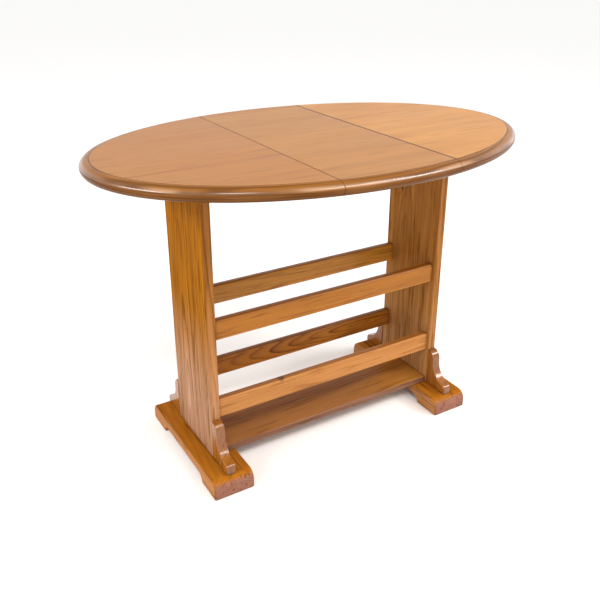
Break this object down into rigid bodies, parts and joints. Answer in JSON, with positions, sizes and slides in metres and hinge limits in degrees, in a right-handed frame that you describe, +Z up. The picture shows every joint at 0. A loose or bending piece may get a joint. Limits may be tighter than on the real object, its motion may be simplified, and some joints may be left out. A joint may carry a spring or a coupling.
{
  "type": "drop leaf table",
  "caption": "Oval-topped pine drop leaf table: a turning top with hinged leaves on a trestle of end panels and sledge feet, joined by rails and a magazine shelf.",
  "frame": {"origin": "on the floor, straight below the middle of the oval top", "axes": "+X along the length of the top and the trestle, +Y to the back of the table, +Z up"},
  "size_m": [0.79, 0.528, 0.56],
  "materials": {
    "top_pine": "golden stained pine under satin lacquer",
    "lipping_pine": "darker stained pine lipping under satin lacquer",
    "frame_pine": "golden stained pine, satin lacquer",
    "foot_pine": "golden stained pine, satin lacquer, worn at the edges",
    "rail_pine": "golden stained pine with dark growth rings, satin lacquer",
    "shelf_pine": "brown stained pine, thin satin lacquer",
    "brass": "dull brass",
    "zinc_steel": "zinc-plated steel"
  },
  "bodies": {
    "trestle": {"left_end_panel": "frame_pine", "left_foot": "foot_pine", "left_front_bracket": "foot_pine", "left_back_bracket": "foot_pine", "left_front_foot_screw": "zinc_steel", "left_back_foot_screw": "zinc_steel", "left_shelf_screw": "zinc_steel", "right_end_panel": "frame_pine", "right_foot": "foot_pine", "right_front_bracket": "foot_pine", "right_back_bracket": "foot_pine", "right_front_foot_screw": "zinc_steel", "right_back_foot_screw": "zinc_steel", "right_shelf_screw": "zinc_steel", "front_upper_rail": "rail_pine", "back_upper_rail": "rail_pine", "front_lower_rail": "rail_pine", "back_lower_rail": "rail_pine", "magazine_shelf": "shelf_pine", "pivot_rail": "shelf_pine", "pivot_spacer": "shelf_pine", "pivot_washer": "zinc_steel"},
    "turning_top": {"centre_board": "top_pine", "centre_front_lipping": "lipping_pine", "centre_back_lipping": "lipping_pine", "pivot_insert": "brass", "pivot_bolt": "zinc_steel", "left_front_centre_hinge_plate": "brass", "left_front_centre_hinge_screw_1": "brass", "left_front_centre_hinge_screw_2": "brass", "left_front_hinge_pin": "brass", "left_back_centre_hinge_plate": "brass", "left_back_centre_hinge_screw_1": "brass", "left_back_centre_hinge_screw_2": "brass", "left_back_hinge_pin": "brass", "right_front_centre_hinge_plate": "brass", "right_front_centre_hinge_screw_1": "brass", "right_front_centre_hinge_screw_2": "brass", "right_front_hinge_pin": "brass", "right_back_centre_hinge_plate": "brass", "right_back_centre_hinge_screw_1": "brass", "right_back_centre_hinge_screw_2": "brass", "right_back_hinge_pin": "brass"},
    "left_drop_leaf": {"left_leaf": "top_pine", "left_leaf_lipping": "lipping_pine", "left_front_leaf_hinge_plate": "brass", "left_front_leaf_hinge_screw_1": "brass", "left_front_leaf_hinge_screw_2": "brass", "left_back_leaf_hinge_plate": "brass", "left_back_leaf_hinge_screw_1": "brass", "left_back_leaf_hinge_screw_2": "brass"},
    "right_drop_leaf": {"right_leaf": "top_pine", "right_leaf_lipping": "lipping_pine", "right_front_leaf_hinge_plate": "brass", "right_front_leaf_hinge_screw_1": "brass", "right_front_leaf_hinge_screw_2": "brass", "right_back_leaf_hinge_plate": "brass", "right_back_leaf_hinge_screw_1": "brass", "right_back_leaf_hinge_screw_2": "brass"}
  },
  "joints": [
    {"name": "top_swivel", "type": "hinge", "parent": "trestle", "child": "turning_top", "pos_m": [0, 0, 0.538], "axis": [0, 0, 1], "range_deg": [0, 90]},
    {"name": "left_leaf_drop", "type": "hinge", "parent": "turning_top", "child": "left_drop_leaf", "pos_m": [-0.10635, 0, 0.5352], "axis": [0, -1, 0], "range_deg": [-1, 0]},
    {"name": "right_leaf_drop", "type": "hinge", "parent": "turning_top", "child": "right_drop_leaf", "pos_m": [0.10635, 0, 0.5352], "axis": [0, 1, 0], "range_deg": [-1, 0]}
  ]
}
